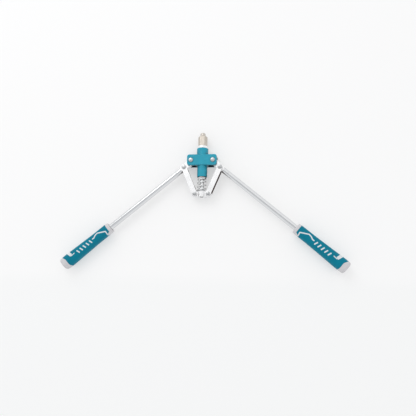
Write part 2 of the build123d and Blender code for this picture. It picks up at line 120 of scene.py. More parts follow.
def sheetFaces(rows, columns, closeRows):
    # each small square joins a point to the next column and the next row; columns always close round
    r = np.arange(rows if closeRows else rows - 1)
    r, c = np.meshgrid(r, np.arange(columns), indexing="ij")
    down, right = (r + 1) % rows, (c + 1) % columns
    quads = [r * columns + c, r * columns + right, down * columns + right, down * columns + c]
    return np.stack(quads, -1).reshape(-1, 4).tolist()


def closeEnds(points, faces):
    # adds the middle of the first and last ring as poles, each with a fan of triangles
    rows, columns = points.shape[:2]
    ring = np.arange(columns)
    following = (ring + 1) % columns
    last = (rows - 1) * columns
    first = rows * columns
    fanLow = np.stack([np.full(columns, first), following, ring], -1).tolist()
    fanHigh = np.stack([np.full(columns, first + 1), last + ring, last + following], -1).tolist()
    flat = np.concatenate([points.reshape(-1, 3), [points[0].mean(0), points[-1].mean(0)]])
    return flat, faces + fanLow + fanHigh


def ringSheet(radii, heights, origin, axis, across):
    # point(row, turn) = origin + axis * height + (across * cos + third * sin) * radius, in mm from origin
    radii = np.asarray(radii, float)
    if radii.ndim == 1:
        radii = np.repeat(radii[:, None], roundColumns, 1)
    heights = np.broadcast_to(np.asarray(heights, float).reshape(len(radii), -1), radii.shape)
    turn = np.linspace(0, 2 * np.pi, radii.shape[1], endpoint=False)
    third = np.cross(axis, across)
    around = np.cos(turn)[:, None] * across + np.sin(turn)[:, None] * third
    return origin + (radii[..., None] * around + heights[..., None] * axis) * mm


def turnedHollow(corners, origin, axis, across):
    # ring of metal: a closed outline, up its outer side and down its inner side, carried round the axis
    outline = softCorners(corners, True)
    points = ringSheet(outline[:, 0], outline[:, 1], origin, axis, across)
    return points.reshape(-1, 3), sheetFaces(points.shape[0], points.shape[1], True)


def turnedSolid(corners, origin, axis, across):
    # solid of revolution: an open outline from a small ring near the axis to another, closed by poles
    outline = softCorners(corners, False)
    points = ringSheet(outline[:, 0], outline[:, 1], origin, axis, across)
    return closeEnds(points, sheetFaces(points.shape[0], points.shape[1], False))


def wireSheet(path, radius, columns):
    # round wire: a circle carried along a path, square to it, kept from twisting by the path's own radius
    ahead = np.gradient(path, axis=0)
    ahead /= np.linalg.norm(ahead, axis=1)[:, None]
    out = path - middle
    out[:, 1] = 0
    out -= (out * ahead).sum(1)[:, None] * ahead
    out /= np.linalg.norm(out, axis=1)[:, None]
    side = np.cross(ahead, out)
    turn = np.linspace(0, 2 * np.pi, columns, endpoint=False)
    ring = np.cos(turn)[None, :, None] * out[:, None] + np.sin(turn)[None, :, None] * side[:, None]
    points = path[:, None] + ring * radius[:, None, None]
    return closeEnds(points, sheetFaces(len(path), columns, False))


def addPiece(name, shape, material, body, replaced, mirrored=False):
    # a shape's points and faces as one piece; the mirrored one has x turned round, and each face with it
    points, faces = shape
    points = np.array(points)
    if mirrored:
        points[:, 0] *= -1
        faces = [face[::-1] for face in faces]
    mesh = bpy.data.meshes.new(name)
    mesh.from_pydata(points.tolist(), [], faces)
    mesh.polygons.foreach_set("use_smooth", np.ones(len(mesh.polygons), bool))
    mesh.set_sharp_from_angle(angle=math.radians(sharpTurn))
    mesh.materials.append(material)
    piece = bpy.data.objects.new(name, mesh)
    bpy.context.scene.collection.objects.link(piece)
    if body:                                 # a spring has none, and is blended between two
        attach(piece, body)
    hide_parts(*replaced)
    return piece


def addPair(name, shape, material, body, replaced):
    # the right piece as it is and the left one mirrored, each on its own side's body unless that is the head
    pair = []
    for side in ("right", "left"):
        sideBody = body if body == "head" else side + "_" + body
        sideNodes = [side + "_" + node for node in replaced]
        pair.append(addPiece(side + name, shape, material, sideBody, sideNodes, side == "left"))
    return pair


def softCopy(name, node, width, material, body, steps=3):
    # the node's own shape, merged, its flat faces joined and every hard edge rounded by a bevel
    mesh = nodes[node].data.copy()
    work = bmesh.new()
    work.from_mesh(mesh)
    bmesh.ops.remove_doubles(work, verts=work.verts, dist=3e-6)
    bmesh.ops.dissolve_limit(work, angle_limit=math.radians(0.8), verts=work.verts, edges=work.edges)
    work.to_mesh(mesh)
    work.free()
    for attribute in [a for a in mesh.attributes if a.name == "custom_normal"]:
        mesh.attributes.remove(attribute)
    mesh.materials.clear()
    mesh.materials.append(material)
    mesh.polygons.foreach_set("use_smooth", np.ones(len(mesh.polygons), bool))
    piece = bpy.data.objects.new(name, mesh)
    bpy.context.scene.collection.objects.link(piece)
    bevel = piece.modifiers.new("softEdges", "BEVEL")
    bevel.width = width * mm
    bevel.segments = steps
    bevel.limit_method = "ANGLE"
    bevel.angle_limit = math.radians(25)
    bevel.harden_normals = True
    bevel.miter_outer = "MITER_ARC"
    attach(piece, body)
    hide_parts(node)
    return piece


# materials
def linear(hexText):                         # sRGB hex to the shaders' linear colour
    parts = [int(hexText[i:i + 2], 16) / 255 for i in (0, 2, 4)]
    return tuple(c / 12.92 if c <= 0.04045 else ((c + 0.055) / 1.055) ** 2.4 for c in parts) + (1.0,)


def addNode(tree, kind, inputs=None, **settings):
    # one node with its settings; an input is set to a value, or linked if it is given a socket
    node = tree.nodes.new(kind)
    for key, value in settings.items():
        setattr(node, key, value)
    for key, value in (inputs or {}).items():
        if isinstance(value, bpy.types.NodeSocket):
            tree.links.new(value, node.inputs[key])
        else:
            node.inputs[key].default_value = value
    return node


def newMaterial(name, **fixed):
    # a material with only its principled shader, whose fixed values are set on its sockets
    material = bpy.data.materials.new(name)
    material.use_nodes = True
    tree = material.node_tree
    shader = tree.nodes["Principled BSDF"]
    for key, value in fixed.items():
        shader.inputs[key.replace("_", " ")].default_value = value
    return material, tree, shader


def perMm(size):                             # noise scale for a feature of that many millimetres
    return 1 / (size * mm)


def cloudy(tree, sizeMm, detail, stretch=(1, 1, 1)):
    # soft noise on the piece's own coordinates, one feature every sizeMm, squeezed along an axis by stretch
    place = addNode(tree, "ShaderNodeTexCoord").outputs["Object"]
    place = addNode(tree, "ShaderNodeMapping", {"Vector": place, "Scale": stretch}).outputs[0]
    noise = addNode(tree, "ShaderNodeTexNoise", {"Vector": place, "Scale": perMm(sizeMm), "Detail": detail})
    return noise.outputs["Fac"]


def varied(tree, factor, low, high):          # spreads a 0..1 pattern over a range of plain numbers
    return addNode(tree, "ShaderNodeMapRange", {"Value": factor, "From Min": 0.3, "From Max": 0.7,
                                                "To Min": low, "To Max": high}).outputs[0]


def cornerShadeMix(tree, sizeMm, openShare):
    # mix factor for painted shade, 0 deep in a corner to 1 on open faces: the share of the nearby half ball that
    # is free, where a quarter counts as none and openShare as all
    free = addNode(tree, "ShaderNodeAmbientOcclusion", {"Distance": sizeMm * mm}, samples=6).outputs["AO"]
    return addNode(tree, "ShaderNodeMapRange", {"Value": free, "From Min": 0.25,
                                                "From Max": openShare}).outputs[0]


def bakedEnamel():
    # baked gloss enamel on a die casting: deep even teal, faint orange peel, painted highlight on rounded edges,
    # painted shade darker towards the corners, and near black painted shade where the shade attribute is 1
    material, tree, shader = newMaterial("bakedEnamel", IOR=1.5, Specular_IOR_Level=0.3, Coat_Weight=0.15,
                                         Coat_Roughness=0.12)
    drift = cloudy(tree, 11, 2)
    body = addNode(tree, "ShaderNodeMix", {0: drift, 6: linear("128ca2"), 7: linear("22a0b8")},
                   data_type="RGBA").outputs[2]
    # painted highlight: paler teal on rounded edges, where the bevelled normal turns from the face's own
    facing = addNode(tree, "ShaderNodeNewGeometry").outputs["Normal"]
    rounded = addNode(tree, "ShaderNodeBevel", {"Radius": 0.9 * mm}, samples=4).outputs[0]
    turn = addNode(tree, "ShaderNodeVectorMath", {0: facing, 1: rounded},
                   operation="DOT_PRODUCT").outputs["Value"]
    edge = addNode(tree, "ShaderNodeMapRange", {"Value": turn, "From Min": 0.995, "From Max": 0.9,
                                                "To Min": 0.0, "To Max": 0.4}).outputs[0]
    colour = addNode(tree, "ShaderNodeMix", {0: edge, 6: body, 7: linear("6fc0d2")},
                     data_type="RGBA").outputs[2]
    # painted shade: darker teal in corners and where parts meet
    colour = addNode(tree, "ShaderNodeMix", {0: cornerShadeMix(tree, 20, 0.97), 6: linear("05485a"), 7: colour},
                     data_type="RGBA").outputs[2]
    # painted shade: near black where the shade attribute marks the inside of the lever slots
    inside = addNode(tree, "ShaderNodeAttribute", attribute_name="inside").outputs["Fac"]
    colour = addNode(tree, "ShaderNodeMix", {0: inside, 6: colour, 7: linear("14181a")},
                     data_type="RGBA").outputs[2]
    tree.links.new(colour, shader.inputs["Base Color"])
    tree.links.new(varied(tree, cloudy(tree, 4, 3), 0.3, 0.42), shader.inputs["Roughness"])
    peel = addNode(tree, "ShaderNodeBump", {"Height": cloudy(tree, 1.3, 2), "Strength": 0.25,
                                            "Distance": 0.06 * mm})
    tree.links.new(peel.outputs[0], shader.inputs["Normal"])
    return material


def platedSteel(name, lightHex, darkHex, rough, sizeMm, stretch, bump, cornerShadeHex="3b3835"):
    # plated or machined metal: a mirror broken by the lay of the tool marks, with cloudy handling marks and
    # painted shade in the corners; the marks are sizeMm apart, coarser than real so that they show, and stretch
    # squeezes them along an axis
    material, tree, shader = newMaterial(name, Metallic=1.0)
    cloud = cloudy(tree, 14, 3)
    colour = addNode(tree, "ShaderNodeMix", {0: cloud, 6: linear(darkHex), 7: linear(lightHex)},
                     data_type="RGBA").outputs[2]
    # painted shade: the colour darkens deep in corners and where parts meet
    colour = addNode(tree, "ShaderNodeMix", {0: cornerShadeMix(tree, 1.8, 0.7), 6: linear(cornerShadeHex), 7: colour},
                     data_type="RGBA").outputs[2]
    tree.links.new(colour, shader.inputs["Base Color"])
    marks = cloudy(tree, sizeMm, 4, stretch)
    both = addNode(tree, "ShaderNodeMath", {0: marks, 1: cloud}, operation="MULTIPLY").outputs[0]
    rough = addNode(tree, "ShaderNodeMapRange", {"Value": both, "From Min": 0.1, "From Max": 0.42,
                                                 "To Min": rough * 0.7, "To Max": rough * 1.35}).outputs[0]
    tree.links.new(rough, shader.inputs["Roughness"])
    relief = addNode(tree, "ShaderNodeBump", {"Height": marks, "Strength": bump, "Distance": 0.03 * mm})
    tree.links.new(relief.outputs[0], shader.inputs["Normal"])
    return material


def shadedInside(material, name, darkHex):
    # the same metal with patchy dark painted shade where the piece's own shade attribute is 1
    material = material.copy()
    material.name = name
    tree = material.node_tree
    shader = tree.nodes["Principled BSDF"]
    inside = addNode(tree, "ShaderNodeAttribute", attribute_name="inside").outputs["Fac"]
    patchy = addNode(tree, "ShaderNodeMapRange", {"Value": cloudy(tree, 3, 3), "From Min": 0.25,
                                                  "From Max": 0.5, "To Min": 0.75}).outputs[0]
    cover = addNode(tree, "ShaderNodeMath", {0: inside, 1: patchy}, operation="MULTIPLY").outputs[0]
    bare = shader.inputs["Base Color"].links[0].from_socket
    colour = addNode(tree, "ShaderNodeMix", {0: cover, 6: bare, 7: linear(darkHex)},
                     data_type="RGBA").outputs[2]
    tree.links.new(colour, shader.inputs["Base Color"])
    metal = addNode(tree, "ShaderNodeMapRange", {"Value": cover, "To Min": 1.0, "To Max": 0.1}).outputs[0]
    tree.links.new(metal, shader.inputs["Metallic"])
    return material


def mouldedRubber():
    # two-shot grip: satin teal thermoplastic rubber with light grey inlays where the piece's own "inlay"
    # attribute, in mm, is above 0; the spark texture of the mould is drawn coarser than real so that it shows
    material, tree, shader = newMaterial("mouldedRubber", IOR=1.5, Specular_IOR_Level=0.12)
    drift = cloudy(tree, 16, 2)
    teal = addNode(tree, "ShaderNodeMix", {0: drift, 6: linear("006c84"), 7: linear("007d94")},
                   data_type="RGBA").outputs[2]
    inlay = addNode(tree, "ShaderNodeAttribute", attribute_name="inlay").outputs["Fac"]
    mask = addNode(tree, "ShaderNodeMapRange", {"Value": inlay, "From Min": -0.12,
                                                "From Max": 0.12}).outputs[0]
    colour = addNode(tree, "ShaderNodeMix", {0: mask, 6: teal, 7: linear("d6dbde")},
                     data_type="RGBA").outputs[2]
    tree.links.new(colour, shader.inputs["Base Color"])
    tree.links.new(varied(tree, cloudy(tree, 5, 3), 0.42, 0.56), shader.inputs["Roughness"])
    grain = addNode(tree, "ShaderNodeBump", {"Height": cloudy(tree, 0.5, 3), "Strength": 0.5,
                                             "Distance": 0.05 * mm})
    tree.links.new(grain.outputs[0], shader.inputs["Normal"])
    return material


def mouldedNylon():
    # hard pale grey nylon of the collar, butt and cap: slightly warm, low sheen, fine spark texture
    material, tree, shader = newMaterial("mouldedNylon", IOR=1.5, Specular_IOR_Level=0.3)
    drift = cloudy(tree, 8, 3)
    colour = addNode(tree, "ShaderNodeMix", {0: drift, 6: linear("c3c1c4"), 7: linear("d2d1d3")},
                     data_type="RGBA").outputs[2]
    tree.links.new(colour, shader.inputs["Base Color"])
    tree.links.new(varied(tree, cloudy(tree, 4, 3), 0.45, 0.6), shader.inputs["Roughness"])
    grain = addNode(tree, "ShaderNodeBump", {"Height": cloudy(tree, 0.4, 3), "Strength": 0.45,
                                             "Distance": 0.04 * mm})
    tree.links.new(grain.outputs[0], shader.inputs["Normal"])
    return material


print("materials")
enamel = bakedEnamel()
# warm and milky, with fine rings round the nose
nickel = platedSteel("satinNickel", "d2cac0", "b9b1a6", 0.3, 0.5, (0.15, 1, 0.15), 0.12)
# the same warmth, brighter, with the rings that the lathe left
tipSteel = platedSteel("turnedTipSteel", "d6d0c8", "bfb9b2", 0.32, 0.4, (0.15, 1, 0.15), 0.15)
# near white, with a soft broken shine over pressed sheet
zinc = platedSteel("brightZinc", "f8f8f9", "eaebec", 0.27, 0.9, (1, 1, 1), 0.18)
# clear mirror on drawn tube, with hard light and dark bands
chrome = platedSteel("brightChrome", "e1e2e3", "d5d7d9", 0.09, 1.2, (1, 1, 1), 0.03)
# greyer than the sheet round it, so that the pin heads stand out
pinSteel = platedSteel("turnedPinZinc", "c9cacb", "b0b2b4", 0.26, 0.4, (1, 1, 0.2), 0.15)
# pale bright wire, with grey painted shade between the turns
springWire = platedSteel("drawnSpringWire", "eceded", "d8dadb", 0.24, 0.4, (1, 1, 1), 0.1, "a5a4a3")
# pale, with fine rings round the rod, and a pale painted shade in its corners
groundSteel = platedSteel("groundSteel", "f0f1f1", "e2e4e5", 0.24, 0.3, (0.1, 1, 0.1), 0.08, "b9b8b6")
# dull yellow brown, grainy and porous
bronze = platedSteel("sinteredBronze", "a98550", "84643a", 0.42, 0.25, (1, 1, 1), 0.5)
# dark grey with a dull shine, as quenched in oil
hardSteel = platedSteel("oiledHardSteel", "5b5b5e", "3f3f43", 0.35, 0.6, (1, 1, 1), 0.15)
# painted brown shade between the link's plates, and painted black shade in the rod's bore
linkZinc = shadedInside(zinc, "pressedZincLink", "4a3631")
boredSteel = shadedInside(groundSteel, "boredGroundSteel", "1d1b1a")
rubber = mouldedRubber()
nylon = mouldedNylon()


# nose: nosepiece, hexagonal sleeve and lock ring
print("nose")
noseShape = {
    "cornerRounding": 60,        # higher makes the hexagon's corners sharper
    "coneBlend": 40,             # higher makes the cone's edge on the flats sharper
    "coneLength": 3.0,
    "faceRim": 0.9,              # flat end face beyond the nosepiece
    "foot": 0.8,                 # bevel at the lock ring
    "wallEnd": 6.0,              # thickness of the front wall that the nosepiece screws into
    "tipRounding": 2.4,
    "tipDraw": 1.5,              # how much narrower the nosepiece's end is
    "ringEdge": 0.7,
    "spigotRadius": 8.0,
    "boreRadius": 7.1,
    "threadRadius": 4.0,
    "threadTaper": 0.8,
    "backRim": 0.7,              # wall at the nosepiece's inner end
}
sleeveLow, sleeveTop = spanOf("nose_sleeve", middle, pullAxis)
ringLow, ringTop = spanOf("lock_nut", middle, pullAxis)
tipLow, tipTop = spanOf("nosepiece", middle, pullAxis)
apothem = spanOf("nose_sleeve", middle, upright)[1]
ringRadius = spanOf("lock_nut", middle, upright)[1]
tipRadius = spanOf("nosepiece", middle, upright)[1]
mandrelBore = next(m for m in frame["record"]["mounts"] if m["name"] == "mandrel_bore")["dims"]["r_mm"]
spigotRadius = noseShape["spigotRadius"]
threadRadius = noseShape["threadRadius"]


def hexagonSleeve(shape):
    # radius(row, turn) = the smaller, softly, of an envelope of cones and cylinders and a hexagon whose
    # flats face up and down; rows go up the outside and back down the bore
    cornerRadius = apothem / math.cos(math.pi / 6)
    rim = tipRadius + shape["faceRim"]
    corners = [
        (cornerRadius - shape["foot"], ringTop, 0),
        (cornerRadius, ringTop + shape["foot"], 0.5),
        (cornerRadius + 0.3, sleeveTop - shape["coneLength"], 0.5),
        (rim, sleeveTop, 0.5),
        (threadRadius, sleeveTop, 0.2),
        (threadRadius, sleeveTop - shape["wallEnd"], 0),
        (shape["boreRadius"], sleeveTop - shape["wallEnd"], 0),
        (shape["boreRadius"], sleeveLow, 0.3),
        (spigotRadius, sleeveLow, 0.3),
        (spigotRadius, ringTop, 0),
    ]
    outline = softCorners(corners, True)
    turn = np.linspace(0, 2 * np.pi, 240, endpoint=False)
    flats = np.radians(np.arange(6) * 60 + 30)
    closeness = np.maximum(np.cos(turn[:, None] - flats[None, :]), 0) ** shape["cornerRounding"]
    hexagon = apothem / closeness.sum(1) ** (1 / shape["cornerRounding"])
    envelope = outline[:, 0][:, None]
    power = -float(shape["coneBlend"])
    radii = (envelope ** power + hexagon[None, :] ** power) ** (1 / power)
    points = ringSheet(radii, outline[:, 1], middle, pullAxis, sideways)
    return points.reshape(-1, 3), sheetFaces(points.shape[0], points.shape[1], True)


addPiece("noseSleeve", hexagonSleeve(noseShape), nickel, "head", ["nose_sleeve"])
addPiece("lockRing", turnedHollow([
    (ringRadius, ringLow, noseShape["ringEdge"]), (ringRadius, ringTop, noseShape["ringEdge"]),
    (spigotRadius, ringTop, 0.2), (spigotRadius, ringLow, 0.2)], middle, pullAxis, sideways),
    zinc, "head", ["lock_nut"])
addPiece("nosepiece", turnedHollow([
    (mandrelBore + noseShape["backRim"], tipLow, 0.2), (threadRadius, tipLow + noseShape["threadTaper"], 0.3),
    (threadRadius, sleeveTop, 0), (tipRadius, sleeveTop, 0.2),
    (tipRadius, tipTop - noseShape["tipRounding"], 0.8), (tipRadius - noseShape["tipDraw"], tipTop, 0.8),
    (mandrelBore, tipTop, 0.35), (mandrelBore, tipLow, 0.2)],
    middle, pullAxis, sideways), tipSteel, "head", ["nosepiece"])

# head, guide bush and washer
print("head")
headShape = {
    "edge": 0.55,                # rounding of the casting's edges
    "slotHalf": 7.0,             # half the thickness of the lever slots
    "slotStart": 12.9,           # how far they start from the middle
    "slotRoof": 9.0,             # how far they reach past the wing pins' line, towards the nose
    "rodRadius": 4.5,
    "bushFlange": 1.4,
    "bushRadius": 6.6,
    "bushGap": 0.05,             # room for the rod in the bush and in the washer
    "washerGap": 0.3,
}
head = softCopy("headCasting", "head_casting", headShape["edge"], enamel, "head")
# the faces inside the lever slots, which get painted shade: between their two sides, but not the wings' outer ends
faceSpots = np.empty(len(head.data.polygons) * 3)
head.data.polygons.foreach_get("center", faceSpots)
faceSpots = (faceSpots.reshape(-1, 3) - middle) / mm
wingHalf = spanOf("head_casting", middle, sideways)[1]
near = 0.05                      # how close to a slot's side a face still belongs to it
shadedSlotFaces = np.abs(faceSpots[:, 2]) < headShape["slotHalf"] + near
shadedSlotFaces &= np.abs(faceSpots[:, 0]) > headShape["slotStart"] - near
shadedSlotFaces &= np.abs(faceSpots[:, 0]) < wingHalf - 0.5
shadedSlotFaces &= faceSpots[:, 1] < headShape["slotRoof"] + near
head.data.attributes.new("inside", "FLOAT", "FACE").data.foreach_set("value", shadedSlotFaces.astype(np.float32))
bushLow, bushTop = spanOf("guide_bush", middle, pullAxis)
bushRim = spanOf("guide_bush", middle, upright)[1]
washerLow, washerTop = spanOf("spring_washer", middle, pullAxis)
washerRim = spanOf("spring_washer", middle, upright)[1]
rodRadius = headShape["rodRadius"]
bushRadius = headShape["bushRadius"]
bushBore = rodRadius + headShape["bushGap"]
washerBore = rodRadius + headShape["washerGap"]
flangeTop = bushLow + headShape["bushFlange"]
addPiece("guideBush", turnedHollow([
    (bushRim, bushLow, 0.3), (bushRim, flangeTop, 0.2), (bushRadius, flangeTop, 0),
    (bushRadius, bushTop, 0.3), (bushBore, bushTop, 0.3), (bushBore, bushLow, 0.3)],
    middle, pullAxis, sideways), bronze, "head", ["guide_bush"])
addPiece("springWasher", turnedHollow([
    (washerRim, washerLow, 0.3), (washerRim, washerTop, 0.3), (washerBore, washerTop, 0.2),
    (washerBore, washerLow, 0.2)], middle, pullAxis, sideways), zinc, "head",
    ["spring_washer"])

# pull rod, yoke, springs and what the nose holds
print("pull rod and yoke")
pullShape = {
    "rodHead": 6.0,              # length of the rod's wider end, inside the jaw case
    "yokeEdge": 0.6,
    "nutEdge": 0.25,
    "jawEdge": 0.15,
}
rodLow, rodTop = spanOf("pull_rod", middle, pullAxis)
headLow = rodTop - pullShape["rodHead"]
rodBore = next(m for m in frame["record"]["mounts"] if m["name"] == "mandrel_exit")["dims"]["r_mm"]
headRadius = spanOf("pull_rod", middle, upright)[1]
pullRod = addPiece("pullRod", turnedHollow([
    (rodRadius, rodLow, 0.4), (rodRadius, headLow, 0), (headRadius, headLow, 0.3),
    (headRadius, rodTop, 0.3), (rodBore, rodTop, 0.3), (rodBore, rodLow, 0.5)], middle, pullAxis, sideways),
    boredSteel, "yoke", ["pull_rod"])
# painted shade: the faces of the rod's bore are marked for near black shade
rodPoints = (placesOf(pullRod) - middle) / mm
shadedBore = (np.hypot(rodPoints[:, 0], rodPoints[:, 2]) < rodBore + 0.2).astype(np.float32)
pullRod.data.attributes.new("inside", "FLOAT", "POINT").data.foreach_set("value", shadedBore)
softCopy("yokeBar", "yoke", pullShape["yokeEdge"], zinc, "yoke")
softCopy("rodLockNut", "rod_lock_nut", pullShape["nutEdge"], pinSteel, "yoke")

springShape = {
    "returnWire": 1.1,           # radius of the wire
    "jawWire": 0.45,
    "turns": 4.2,
    "returnFlat": 0.4,           # turns that lie closed at each end
    "jawFlat": 0.6,
}


def coilSheet(node, wire, flatTurns, columns):
    # wire carried along a helix: the height eases at both ends, so that the last turns lie closed and flat
    low, high = spanOf(node, middle, pullAxis)
    radius = spanOf(node, middle, upright)[1] - wire
    turns = springShape["turns"]
    stepsPerTurn = 48
    share = np.linspace(0, 1, int(turns * stepsPerTurn))
    ramp = np.clip((share * turns - flatTurns) / (turns - 2 * flatTurns), 0, 1)
    eased = 0.85 * ramp + 0.15 * ramp * ramp * (3 - 2 * ramp)
    pitchAtEnds = 2.0 * wire * np.minimum(share * turns, flatTurns)
    pitchAtEnds += 2.0 * wire * np.maximum(share * turns - (turns - flatTurns), 0)
    length = high - low - 2 * wire
    height = low + wire + pitchAtEnds + eased * (length - 4 * wire * flatTurns)
    angle = 2 * np.pi * turns * share
    path = np.stack([radius * np.cos(angle), height, -radius * np.sin(angle)], 1) * mm + middle
    return wireSheet(path, np.full(len(path), wire * mm), columns), low, high


coil, coilLow, coilHigh = coilSheet("return_spring", springShape["returnWire"], springShape["returnFlat"], 20)
returnSpring = addPiece("returnSpring", coil, springWire, None, ["return_spring"])
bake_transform(returnSpring, "head", "yoke", start=tuple(middle + pullAxis * coilHigh * mm),
         end=tuple(middle + pullAxis * coilLow * mm))
coil, coilLow, coilHigh = coilSheet("jaw_spring", springShape["jawWire"], springShape["jawFlat"], 12)
jawSpring = addPiece("jawSpring", coil, springWire, None, ["jaw_spring"])
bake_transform(jawSpring, "yoke", "jaws", start=tuple(middle + pullAxis * coilLow * mm),
         end=tuple(middle + pullAxis * coilHigh * mm))
for name in ("jaw_1", "jaw_2", "jaw_3", "jaw_pusher", "jaw_case"):
    softCopy(name.replace("_", "") + "Steel", name, pullShape["jawEdge"], hardSteel,
             "yoke" if name == "jaw_case" else "jaws", 2)

# links and lever arms
print("links and levers")
leverShape = {
    "linkEdge": 0.45,
    "armEdge": 0.5,
    "linkSkin": 1.5,             # how far in from its outer faces the link gets painted shade
}
for side in ("right", "left"):
    link = softCopy(side + "LinkPlates", side + "_link", leverShape["linkEdge"], linkZinc, side + "_link")
    # painted shade: brown on the faces between the link's plates, away from its outer faces
    linkHeights = placesOf(link)[:, 2]
    half = (linkHeights.max() - linkHeights.min()) / 2
    depth = np.abs(linkHeights - middle[2])
    inside = (depth < half - leverShape["linkSkin"] * mm).astype(np.float32)
    link.data.attributes.new("inside", "FLOAT", "POINT").data.foreach_set("value", inside)
    softCopy(side + "LeverArm", side + "_lever_arm", leverShape["armEdge"], zinc, side + "_lever")

pinShape = {
    "round": 1.3,
    "dome": 0.35,
    "dimple": 0.75,              # radius of the centre dimple
    "dimpleDepth": 0.45,
    "tipEdge": 0.3,
    "headHeight": 2.1,
    "groove": 0.8,               # width of the clip's groove
    "grooveDepth": 0.5,
    "clipEdge": 0.12,
}


def headedPin(node, shank):
    # solid of revolution about the pin's own line: tail, clip groove, shank, then a domed head with a dimple
    box = [np.array(corner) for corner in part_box(node)]
    origin = np.array([(box[0][0] + box[1][0]) / 2, (box[0][1] + box[1][1]) / 2, middle[2]])
    rim = (box[1][0] - box[0][0]) / 2 / mm
    tail, top = (box[0][2] - middle[2]) / mm, (box[1][2] - middle[2]) / mm
    seat = top - pinShape["headHeight"]
    grooveTop = -seat
    grooveLow = grooveTop - pinShape["groove"]
    neck = shank - pinShape["grooveDepth"]
    corners = [
        (0.3, tail, 0), (shank, tail, pinShape["tipEdge"]), (shank, grooveLow, 0), (neck, grooveLow, 0),
        (neck, grooveTop, 0), (shank, grooveTop, 0), (shank, seat, 0),
        (rim, seat, 0.25), (rim, top - pinShape["dome"], pinShape["round"]),
        (pinShape["dimple"], top, 0.25), (0.2, top - pinShape["dimpleDepth"], 0),
    ]
    return turnedSolid(corners, origin, upright, sideways)


pins = (                         # label, node, radius of the shank and body
    ("PivotPin", "pivot_pin", 3.0, "head"),
    ("LinkPin", "link_pin", 3.0, "lever"),
    ("YokePin", "yoke_pin", 2.5, "link"),
)
for label, node, shank, body in pins:
    addPair(label, headedPin("right_" + node, shank), pinSteel, body, [node])
for side in ("right", "left"):
    for label, node, body in (("PivotClip", "pivot_clip", "head"), ("LinkClip", "link_clip", side + "_lever"),
                              ("YokeClip", "yoke_clip", side + "_link")):
        softCopy(side + label, side + "_" + node, pinShape["clipEdge"], springWire, body, 2)

# handle tubes and their rivets
print("tubes")
tubeShape = {
    "wall": 1.5,
    "rivetRim": 0.8,             # share of the rivet's radius that is flat
    "rivetCrown": 0.6,           # height of its rounded ends, and of their outer part
    "rivetEdge": 0.15,
}
tubeLow, tubeHigh = spanOf("right_handle_tube", elbow, along)
tubeRadius = spanOf("right_handle_tube", elbow, upright)[1]
tubeBore = tubeRadius - tubeShape["wall"]
addPair("HandleTube", turnedHollow([
    (tubeRadius, tubeLow, 0.5), (tubeRadius, tubeHigh, 0.3), (tubeBore, tubeHigh, 0.2),
    (tubeBore, tubeLow, 0.2)], elbow, along, outward), chrome, "lever", ["handle_tube"])
rivetBox = [np.array(corner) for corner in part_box("right_tube_rivet")]
rivetCentre = (rivetBox[0] + rivetBox[1]) / 2
rivetHalf = (rivetBox[1][2] - rivetBox[0][2]) / 2 / mm
rivetRadius = (rivetBox[1][0] - rivetBox[0][0]) / 2 / mm
rivetFlat = rivetRadius * tubeShape["rivetRim"]
crownStart = rivetHalf - tubeShape["rivetCrown"]
crownEdge = rivetHalf - tubeShape["rivetEdge"]
addPair("TubeRivet", turnedSolid([
    (0.2, -rivetHalf, 0), (rivetFlat, -crownEdge, 0.3), (rivetRadius, -crownStart, 0.3),
    (rivetRadius, crownStart, 0.3), (rivetFlat, crownEdge, 0.3), (0.2, rivetHalf, 0)],
    rivetCentre, upright, sideways), pinSteel, "lever", ["tube_rivet"])

# grips
print("grips")
gripShape = {
    # moulding over the core at shares of the length, in mm
    "covers": ((0.0, 2.7), (0.06, 3.3), (0.3, 3.3), (0.62, 4.3), (0.9, 5.4), (1.0, 4.6)),
    "coreRadius": 8.6,
    "columns": 192,              # points round the grip
    "sleeveRows": 230,           # and along the coloured part, for crisp inlays
    "oval": 0.3,                 # how much deeper than wide, each side
    "squareness": 2.45,          # 2 is an oval, more flattens its sides
    "frontRounding": 1.4,
    "endRounding": 3.2,
    "seam": 0.45,                # rounding at the joint of the two mouldings
    "inlayRise": 0.3,
    # the two edges of the coloured part, each a place along the grip and steps across it
    "frontEdge": 6.6,
    "frontStep": 6.9,
    "buttEdge": 118,
    "buttStep": 6.2,
    "buttDip": 1.7,
}
gripLow = spanOf("right_grip_core", elbow, along)[0]
capLow, gripHigh = spanOf("right_end_cap", elbow, along)
capSeat = spanOf("right_grip_core", elbow, along)[1] - gripLow
gripLength = gripHigh - gripLow
gripOrigin = elbow + along * gripLow * mm


def smoothStep(x):               # 0 to 1 with flat ends: 3 x squared less 2 x cubed
    x = np.clip(x, 0, 1)
    return x * x * (3 - 2 * x)


def frontEdge(v):
    # where the coloured part starts, for a place v across the grip: later within 4 mm on the inner side
    return gripShape["frontEdge"] + gripShape["frontStep"] * smoothStep((-v - 7) / 4)


def buttEdge(v):
    # and where it ends: later by a long step on the outer side, sooner by a short one on the inner side
    outer = gripShape["buttStep"] * smoothStep((v - 1) / 12)
    inner = gripShape["buttDip"] * smoothStep((-v - 8) / 6)
    return gripShape["buttEdge"] + outer - inner


def gripRadius(u, turn):
    # radius(length, turn) of a softened oval whose half width follows a smooth line through the covers
    shares, covers = np.array(gripShape["covers"]).T
    steps = np.linspace(0, gripLength, 400)
    line = np.interp(steps, shares * gripLength, covers)
    window = np.hanning(61)
    line = np.convolve(np.pad(line, 30, mode="edge"), window / window.sum(), mode="valid")
    half = gripShape["coreRadius"] + np.interp(u, steps, line)
    power = gripShape["squareness"]
    wide = np.abs(np.cos(turn)) / half
    deep = np.abs(np.sin(turn)) / (half + gripShape["oval"])
    return (wide ** power + deep ** power) ** (-1 / power)


